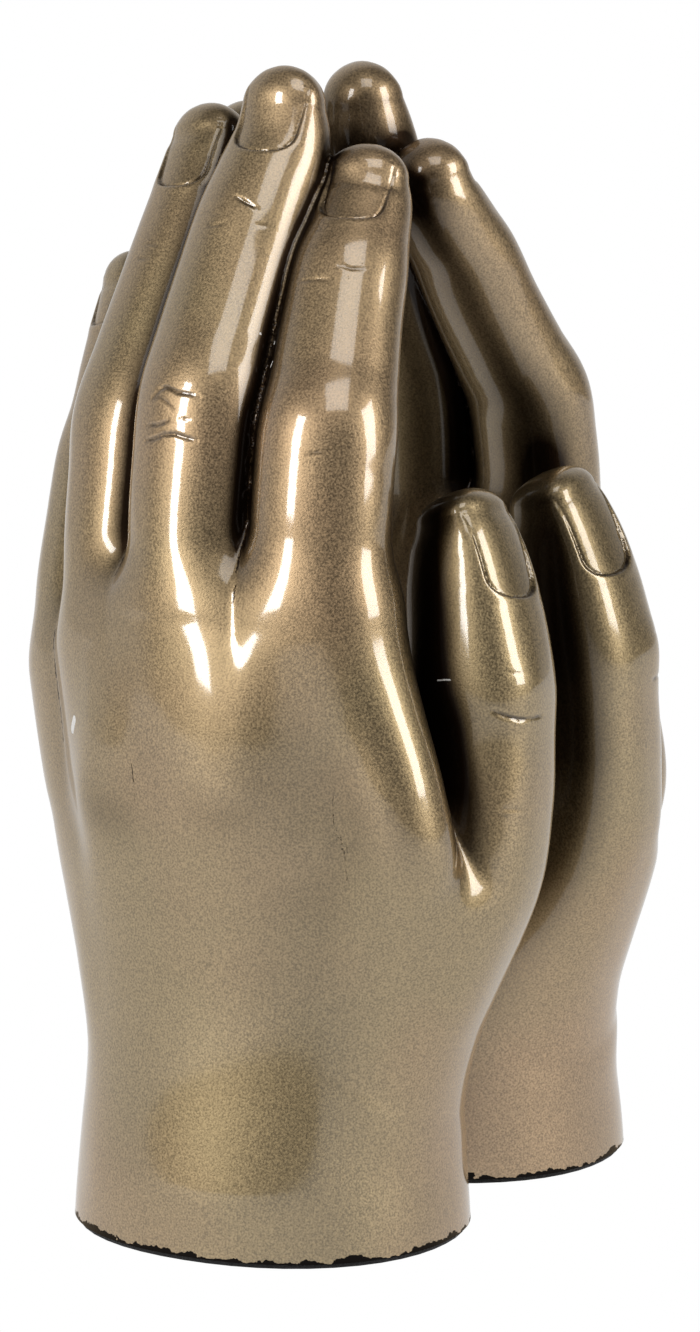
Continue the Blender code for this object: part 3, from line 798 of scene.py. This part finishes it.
class Shader:
    """A material's node tree, with short calls that add a node and give its output."""

    def __init__(self, name):
        self.material = bpy.data.materials.new(name)
        self.material.use_nodes = True
        self.tree = self.material.node_tree
        self.surface = self.tree.nodes["Principled BSDF"]

    def add(self, kind, **settings):
        node = self.tree.nodes.new("ShaderNode" + kind)
        for key, value in settings.items():
            setattr(node, key, value)
        return node

    def join(self, start, end):
        self.tree.links.new(start, end)

    def place(self):
        return self.add("TexCoord").outputs["Object"]

    def height(self):
        apart = self.add("SeparateXYZ")
        self.join(self.place(), apart.inputs[0])
        return apart.outputs["Z"]

    def attribute(self, name):
        return self.add("Attribute", attribute_name=name).outputs["Fac"]

    def noise(self, scale, detail=2.0, roughness=0.5):
        node = self.add("TexNoise")
        node.inputs["Scale"].default_value = scale
        node.inputs["Detail"].default_value = detail
        node.inputs["Roughness"].default_value = roughness
        self.join(self.place(), node.inputs["Vector"])
        return node.outputs["Fac"]

    def spread(self, value, low, high, to_low=0.0, to_high=1.0):
        """The value drawn out from one span of numbers to another, and held within it."""
        node = self.add("MapRange")
        spans = {"From Min": low, "From Max": high, "To Min": to_low, "To Max": to_high}
        for key, number in spans.items():
            node.inputs[key].default_value = number
        self.join(value, node.inputs["Value"])
        return node.outputs["Result"]

    def maths(self, operation, a, b):
        node = self.add("Math", operation=operation)
        for socket, value in zip(node.inputs, (a, b)):
            if isinstance(value, (int, float)):
                socket.default_value = value
            else:
                self.join(value, socket)
        return node.outputs["Value"]

    def blend(self, amount, a, b):
        node = self.add("Mix", data_type="RGBA")
        for key, value in (("Factor", amount), ("A", a), ("B", b)):
            socket = node.inputs[key]
            if isinstance(value, tuple):
                socket.default_value = (*value, 1.0)
            elif isinstance(value, (int, float)):
                socket.default_value = value
            else:
                self.join(value, socket)
        return node.outputs["Result"]

    def tint(self, colour, amount):
        """The colour made lighter or darker by a number."""
        node = self.add("VectorMath", operation="SCALE")
        self.join(colour, node.inputs[0])
        self.join(amount, node.inputs["Scale"])
        return node.outputs[0]

    def bump(self, height, strength, distance):
        node = self.add("Bump")
        node.inputs["Strength"].default_value = strength
        node.inputs["Distance"].default_value = distance
        self.join(height, node.inputs["Height"])
        return node.outputs["Normal"]


OLIVE_BRONZE = (0.365, 0.276, 0.150)
COPPER_BRONZE = (0.405, 0.280, 0.160)
# Near-black bronze for the painted shade in folds and between the palms, and for the darkened grooves
SHADE_AND_GROOVE_BRONZE = (0.022, 0.012, 0.006)
CHALK_WHITE = (0.80, 0.78, 0.75)
# Black of the foot rim, which is partly its black edge and partly painted shadow
RIM_AND_SHADOW_BLACK = (0.012, 0.010, 0.009)
FELT_DARK = (0.008, 0.008, 0.009)
FELT_LIGHT = (0.035, 0.034, 0.034)
WARM_METAL = (1.0, 0.88, 0.74)

# The noise of the paint, each with its scale: drift of colour, metal flakes, grain, ragged rim of black
# edge and painted shadow
DRIFT_SCALE = 11.0
FLAKE_SCALE = 2600.0
GRAIN_SCALE = 700.0
RAGGED_SCALE = 260.0
# The middle part of a noise, in which nearly all of it lies
NOISE_LOW = 0.3
NOISE_HIGH = 0.7
DRIFT_LOW = 0.40
DRIFT_HIGH = 0.60
RAGGED_LOW = 0.35
RAGGED_HIGH = 0.65
# How far the flakes and the grain darken and lighten the paint
FLAKE_DARKEST = 0.70
FLAKE_LIGHTEST = 1.30
GRAIN_DARKEST = 0.97
GRAIN_LIGHTEST = 1.03
# The metal's roughness, and the lacquer on it
FLAKE_SMOOTH = 0.40
FLAKE_ROUGH = 0.52
FLAKE_BUMP = 0.15
FLAKE_HEIGHT = 0.0002
LACQUER_ROUGHNESS = 0.09
LACQUER_IOR = 1.65
# The lacquer's share where the painted shade is darkest, so that shaded folds shine less
SHADED_LACQUER = 0.25
# Where skin that other skin closes in begins to get painted shade and where that is darkest, and the
# heights in metres over which the painted shade fades in above the wrists
SHADE_FROM = 0.10
SHADE_TO = 0.50
SHADE_LOW = 0.045
SHADE_HIGH = 0.085
# The depths in millimetres of a groove over which it is painted darker, and the greatest share of the
# dark colour
GROOVE_DARK_FROM = 0.02
GROOVE_DARK_TO = 0.30
GROOVE_DARK_SHARE = 0.8
# The numbers of a chip's edge between which paint gives way to the white body
CHIP_FROM = 0.35
CHIP_TO = 0.65
# The heights in metres between which the paint gives way to the black rim, which is partly the black
# edge and partly painted shadow at the foot
RIM_SHADOW_LOW = 0.0010
RIM_SHADOW_HIGH = 0.0024

FELT_SCALE = 1500.0
FELT_ROUGHNESS = 0.95
FELT_SHEEN = 0.3
FELT_BUMP = 0.8
FELT_FUZZ = 0.0003


def bronze_paint():
    """Metallic bronze paint under clear lacquer, chipped to the white body underneath, darker in
    grooves, with painted shade in folds and a black foot rim that is partly painted shadow.
    """
    s = Shader("bronze_paint")
    surface = s.surface.inputs
    drift = s.spread(s.noise(DRIFT_SCALE, 3.0, 0.55), DRIFT_LOW, DRIFT_HIGH)
    flake = s.noise(FLAKE_SCALE, 1.0)
    grain = s.noise(GRAIN_SCALE, 3.0, 0.7)
    colour = s.blend(drift, OLIVE_BRONZE, COPPER_BRONZE)
    colour = s.tint(colour, s.spread(flake, NOISE_LOW, NOISE_HIGH, FLAKE_DARKEST, FLAKE_LIGHTEST))
    colour = s.tint(colour, s.spread(grain, NOISE_LOW, NOISE_HIGH, GRAIN_DARKEST, GRAIN_LIGHTEST))
    # Painted shade: darker where other skin closes a point in, in the folds and between the palms
    shade_amount = s.spread(s.attribute("painted_shade"), SHADE_FROM, SHADE_TO)
    shade_amount = s.maths("MULTIPLY", shade_amount, s.spread(s.height(), SHADE_LOW, SHADE_HIGH))
    colour = s.blend(shade_amount, colour, SHADE_AND_GROOVE_BRONZE)
    # Grooves of creases and nail rims are painted darker the deeper they are carved
    groove_dark = s.spread(s.attribute("carved"), GROOVE_DARK_FROM, GROOVE_DARK_TO, 0.0, GROOVE_DARK_SHARE)
    colour = s.blend(groove_dark, colour, SHADE_AND_GROOVE_BRONZE)
    # The black rim at the foot: partly the black edge, partly painted shadow where the hand meets its
    # felt pad
    ragged = s.spread(s.noise(RAGGED_SCALE, 3.0, 0.6), RAGGED_LOW, RAGGED_HIGH, RIM_SHADOW_LOW, RIM_SHADOW_HIGH)
    rim = s.maths("LESS_THAN", s.height(), ragged)
    colour = s.blend(rim, colour, RIM_AND_SHADOW_BLACK)
    chip = s.spread(s.attribute("chip"), CHIP_FROM, CHIP_TO)
    colour = s.blend(chip, colour, CHALK_WHITE)
    painted = s.maths("SUBTRACT", 1.0, chip)
    # Less lacquer in the painted shade, so that the shaded folds shine less
    lacquer = s.maths("MULTIPLY", painted, s.spread(shade_amount, 0.0, 1.0, 1.0, SHADED_LACQUER))
    lacquer = s.maths("MULTIPLY", lacquer, s.maths("SUBTRACT", 1.0, rim))
    s.join(colour, surface["Base Color"])
    s.join(painted, surface["Metallic"])
    s.join(s.spread(flake, NOISE_LOW, NOISE_HIGH, FLAKE_SMOOTH, FLAKE_ROUGH), surface["Roughness"])
    s.join(lacquer, surface["Coat Weight"])
    surface["Coat Roughness"].default_value = LACQUER_ROUGHNESS
    surface["Coat IOR"].default_value = LACQUER_IOR
    surface["Specular Tint"].default_value = (*WARM_METAL, 1.0)
    s.join(s.bump(flake, FLAKE_BUMP, FLAKE_HEIGHT), surface["Normal"])
    return s.material


def black_felt():
    """The fuzzy black felt of the pads."""
    s = Shader("black_felt")
    surface = s.surface.inputs
    fuzz = s.noise(FELT_SCALE, 4.0, 0.7)
    s.join(s.blend(s.spread(fuzz, NOISE_LOW, NOISE_HIGH), FELT_DARK, FELT_LIGHT), surface["Base Color"])
    surface["Roughness"].default_value = FELT_ROUGHNESS
    surface["Sheen Weight"].default_value = FELT_SHEEN
    s.join(s.bump(fuzz, FELT_BUMP, FELT_FUZZ), surface["Normal"])
    return s.material


def dress(obj, material):
    """The object with that material alone."""
    obj.data.materials.clear()
    obj.data.materials.append(material)


def make_nails(owners, side_name):
    """The nails of one hand, on the limbs that carry them."""
    nails = []
    for owner, (from_tip, length, half_width, turn, depth) in NAILS.items():
        if owner == "thumb":
            turn = THUMB_NAIL_TURN[side_name]
        nails.append(Nail(owners[owner], from_tip, length, half_width, turn, depth))
    return nails


def make_statue():
    """Both hands in bronze paint, and felt on the pads of the frame."""
    limbs = make_limbs()
    owners = dict(zip(FINGERS, limbs[0]), thumb=limbs[-1])
    bronze = bronze_paint()
    for name, side in (("right", 1), ("left", -1)):
        hand = make_hand(name + "_hand", side, make_skin(limbs, make_nails(owners, name)))
        dress(hand, bronze)
        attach(hand, "root")
        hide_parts("praying_hands")
    felt = black_felt()
    for name in ("left_felt_pad", "right_felt_pad"):
        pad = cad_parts[name]
        for slot in pad.material_slots:
            slot.material = felt


# The photograph's camera: its turn about the statue and its tilt in degrees, its place in metres
CAMERA_TURN = -60.93
CAMERA_TILT = 9.22
CAMERA_PLACE = (-0.77379, -0.42859, 0.24458)
PHOTO_WIDTH = 700
PHOTO_HEIGHT = 1332
FOCAL_PIXELS = 4666.1
SENSOR = 36.0

# The studio: the turn of the dark room that the camera stands in, how much of the way round it
# is dark, and how bright the room and the white backdrop are
MIDDLE = Vector((0, 0, 0.11))
DARK_TURN = -40.0
DARK_RISE = 10.0
DARK_FROM = -0.60
DARK_TO = 0.05
DARK_ROOM = 0.065
BACKDROP = 0.65
# The floor, in metres: its half-size, its colour, and how bright it is to the camera and in
# reflections, in which it fades out between two distances towards the dark room
FLOOR_SIZE = 4.0
FLOOR_COLOUR = (0.86, 0.86, 0.86)
FLOOR_ROUGHNESS = 0.9
FLOOR_GLOW = 0.85
FLOOR_NEAR = 0.35
FLOOR_FAR = 1.7
# Soft lamps at one distance: turn from the front, rise in degrees, width, height, watts
LAMP_DISTANCE = 1.1
SOFTBOXES = {
    "left_softbox": (-108.0, 22.0, 0.19, 0.58, 5.5),
    "right_softbox": (-2.0, 24.0, 0.42, 0.70, 7.0),
    "top_softbox": (-60.0, 60.0, 0.50, 0.50, 2.4),
}


def make_camera():
    """The camera at the photograph's place and angle."""
    data = bpy.data.cameras.new("photo_camera")
    data.sensor_width = SENSOR
    data.lens = FOCAL_PIXELS * SENSOR / max(PHOTO_WIDTH, PHOTO_HEIGHT)
    camera = bpy.data.objects.new("photo_camera", data)
    camera.location = CAMERA_PLACE
    camera.rotation_euler = (math.radians(90 - CAMERA_TILT), 0, math.radians(CAMERA_TURN))
    bpy.context.scene.collection.objects.link(camera)
    bpy.context.scene.camera = camera


def toward(turn, rise, distance):
    """The way to a point, round by turn from the front and up by rise, at that distance."""
    a, e = math.radians(turn), math.radians(rise)
    return Vector((math.sin(a) * math.cos(e), -math.cos(a) * math.cos(e), math.sin(e))) * distance


def softbox(name, turn, rise, width, height, power):
    """A soft rectangular lamp that faces the statue."""
    data = bpy.data.lights.new(name, "AREA")
    data.shape = "RECTANGLE"
    data.size = width
    data.size_y = height
    data.energy = power
    lamp = bpy.data.objects.new(name, data)
    lamp.location = MIDDLE + toward(turn, rise, LAMP_DISTANCE)
    lamp.rotation_euler = (-toward(turn, rise, 1.0)).to_track_quat("-Z", "Y").to_euler()
    bpy.context.scene.collection.objects.link(lamp)


def make_world():
    """A white studio behind the statue and a dim room behind the camera."""
    world = bpy.data.worlds.new("studio")
    bpy.context.scene.world = world
    world.use_nodes = True
    tree = world.node_tree
    nodes, links = tree.nodes, tree.links
    back = nodes["Background"]
    coord = nodes.new("ShaderNodeTexCoord")
    front = nodes.new("ShaderNodeVectorMath")
    front.operation = "DOT_PRODUCT"
    front.inputs[1].default_value = toward(DARK_TURN, DARK_RISE, 1.0)
    links.new(coord.outputs["Generated"], front.inputs[0])
    shade = nodes.new("ShaderNodeMapRange")
    shade.interpolation_type = "SMOOTHSTEP"
    shade.inputs["From Min"].default_value = DARK_FROM
    shade.inputs["From Max"].default_value = DARK_TO
    shade.inputs["To Min"].default_value = BACKDROP
    shade.inputs["To Max"].default_value = DARK_ROOM
    links.new(front.outputs["Value"], shade.inputs["Value"])
    path = nodes.new("ShaderNodeLightPath")
    white = nodes.new("ShaderNodeMix")
    links.new(path.outputs["Is Camera Ray"], white.inputs["Factor"])
    links.new(shade.outputs["Result"], white.inputs["A"])
    white.inputs["B"].default_value = 1.0
    links.new(white.outputs["Result"], back.inputs["Strength"])
    back.inputs["Color"].default_value = (1, 1, 1, 1)


def make_floor():
    """A floor that is white to the camera and, in reflections, fades out towards the dark room."""
    bm = bmesh.new()
    bmesh.ops.create_grid(bm, x_segments=1, y_segments=1, size=FLOOR_SIZE)
    mesh = bpy.data.meshes.new("floor")
    bm.to_mesh(mesh)
    bm.free()
    floor = bpy.data.objects.new("floor", mesh)
    bpy.context.scene.collection.objects.link(floor)
    s = Shader("white_floor")
    s.surface.inputs["Base Color"].default_value = (*FLOOR_COLOUR, 1.0)
    s.surface.inputs["Roughness"].default_value = FLOOR_ROUGHNESS
    toward_room = s.add("VectorMath", operation="DOT_PRODUCT")
    toward_room.inputs[1].default_value = toward(DARK_TURN, 0.0, 1.0)
    s.join(s.place(), toward_room.inputs[0])
    fade = s.spread(toward_room.outputs["Value"], FLOOR_NEAR, FLOOR_FAR, FLOOR_GLOW, DARK_ROOM)
    glow = s.add("Emission")
    glow.inputs["Color"].default_value = (1, 1, 1, 1)
    glossy = s.add("Emission")
    glossy.inputs["Color"].default_value = (1, 1, 1, 1)
    s.join(fade, glossy.inputs["Strength"])
    path = s.add("LightPath")
    inner = s.add("MixShader")
    s.join(path.outputs["Is Glossy Ray"], inner.inputs[0])
    s.join(s.surface.outputs["BSDF"], inner.inputs[1])
    s.join(glossy.outputs["Emission"], inner.inputs[2])
    mix = s.add("MixShader")
    s.join(path.outputs["Is Camera Ray"], mix.inputs[0])
    s.join(inner.outputs["Shader"], mix.inputs[1])
    s.join(glow.outputs["Emission"], mix.inputs[2])
    s.join(mix.outputs["Shader"], s.tree.nodes["Material Output"].inputs["Surface"])
    mesh.materials.append(s.material)


def make_studio():
    """The camera, the white studio and its lamps."""
    make_camera()
    make_world()
    make_floor()
    for name, lamp in SOFTBOXES.items():
        softbox(name, *lamp)
    bpy.context.scene.view_settings.view_transform = "Standard"


make_statue()
make_studio()
